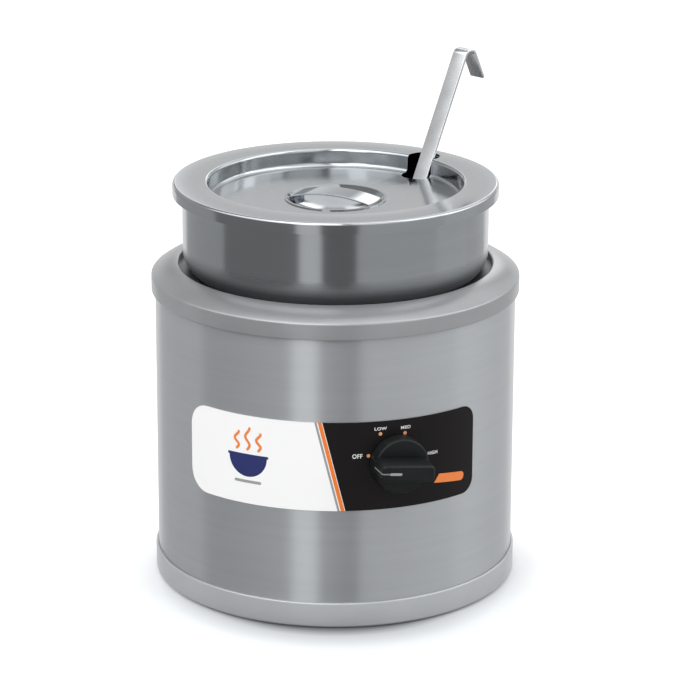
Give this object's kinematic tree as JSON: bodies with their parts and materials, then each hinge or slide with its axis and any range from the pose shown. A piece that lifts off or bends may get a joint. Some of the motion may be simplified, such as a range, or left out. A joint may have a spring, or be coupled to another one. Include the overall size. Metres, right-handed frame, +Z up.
{
  "type": "countertop food warmer",
  "caption": "Round countertop food warmer with a heated well, a drop-in pot, a recessed cover notched for a leaning ladle, and a dial on a curved front panel.",
  "frame": {"origin": "on the body's axis at the surface that it stands on, in the middle of the four feet", "axes": "+Z up along the body's axis, -Y towards the front with the dial panel, +X to the right seen from the front"},
  "size_m": [0.324, 0.3521, 0.4484],
  "materials": {
    "brushed_shell": "fine vertical-grain brushed stainless steel",
    "ring_grey": "satin mid grey paint",
    "base_grey": "satin light grey paint",
    "galvanised": "galvanised sheet",
    "zinc": "bright zinc plate",
    "rubber_black": "matte black rubber",
    "well_steel": "drawn stainless steel",
    "pot_steel": "spun stainless steel",
    "cover_steel": "satin stainless steel",
    "polished_steel": "mirror polished stainless steel",
    "ladle_steel": "satin stainless steel",
    "panel_print": "printed polyester panel",
    "knob_black": "moulded black phenolic",
    "pointer_white": "pale filled line",
    "sheath_dark": "heat-darkened sheath",
    "insulation_white": "mineral fibre blanket",
    "phenolic_black": "moulded phenolic",
    "brass_tab": "plain brass",
    "copper_tube": "drawn copper",
    "gland_black": "moulded nylon",
    "block_white": "moulded nylon",
    "wire_black": "flexible insulation",
    "wire_red": "flexible insulation",
    "wire_white": "flexible insulation",
    "wire_green": "flexible insulation"
  },
  "bodies": {
    "warmer": {"outer_shell": "brushed_shell", "top_ring": "ring_grey", "base_ring": "base_grey", "base_plate": "galvanised", "rubber_feet": "rubber_black", "foot_screws": "zinc", "foot_nuts": "zinc", "well_liner": "well_steel", "tie_rods": "zinc", "flange_nuts": "zinc", "rod_nuts": "zinc", "heating_element": "sheath_dark", "element_pins": "brass_tab", "heat_shield": "galvanised", "shield_insulation": "insulation_white", "shield_stud": "zinc", "shield_washer": "zinc", "shield_nut": "zinc", "insulation_wrap": "insulation_white", "faceplate": "panel_print", "thermostat_mount": "galvanised", "thermostat_body": "phenolic_black", "thermostat_screws": "zinc", "thermostat_tabs": "brass_tab", "sensor_bulb": "copper_tube", "bulb_clip": "well_steel", "capillary_tube": "copper_tube", "cord_gland": "gland_black", "terminal_block": "block_white", "block_screws": "zinc", "ground_screw": "wire_green", "live_wire": "wire_black", "element_wire": "wire_red", "neutral_wire": "wire_white", "ground_wire": "wire_green"},
    "knob": {"control_knob": "knob_black", "knob_pointer": "pointer_white", "thermostat_shaft": "zinc"},
    "inset": {"inset_pot": "pot_steel"},
    "cover": {"cover": "cover_steel", "handle_cup": "polished_steel", "handle_strap": "polished_steel"},
    "ladle": {"ladle_bowl": "ladle_steel", "ladle_handle": "ladle_steel", "ladle_rivets": "ladle_steel"}
  },
  "joints": [
    {"name": "knob_turn", "type": "hinge", "parent": "warmer", "child": "knob", "pos_m": [0.05341, -0.15082, 0.149], "axis": [-0.3338, 0.9426, 0], "range_deg": [0, 167]},
    {"name": "inset_lift", "type": "slide", "parent": "warmer", "child": "inset", "axis": [0, 0, 1], "range_m": [0, 0.17]},
    {"name": "cover_lift", "type": "slide", "parent": "inset", "child": "cover", "axis": [0, 0, 1], "range_m": [0, 0.25]},
    {"name": "ladle_lift", "type": "slide", "parent": "cover", "child": "ladle", "axis": [0.3022, 0.3022, 0.9041], "range_m": [0, 0.13]}
  ]
}
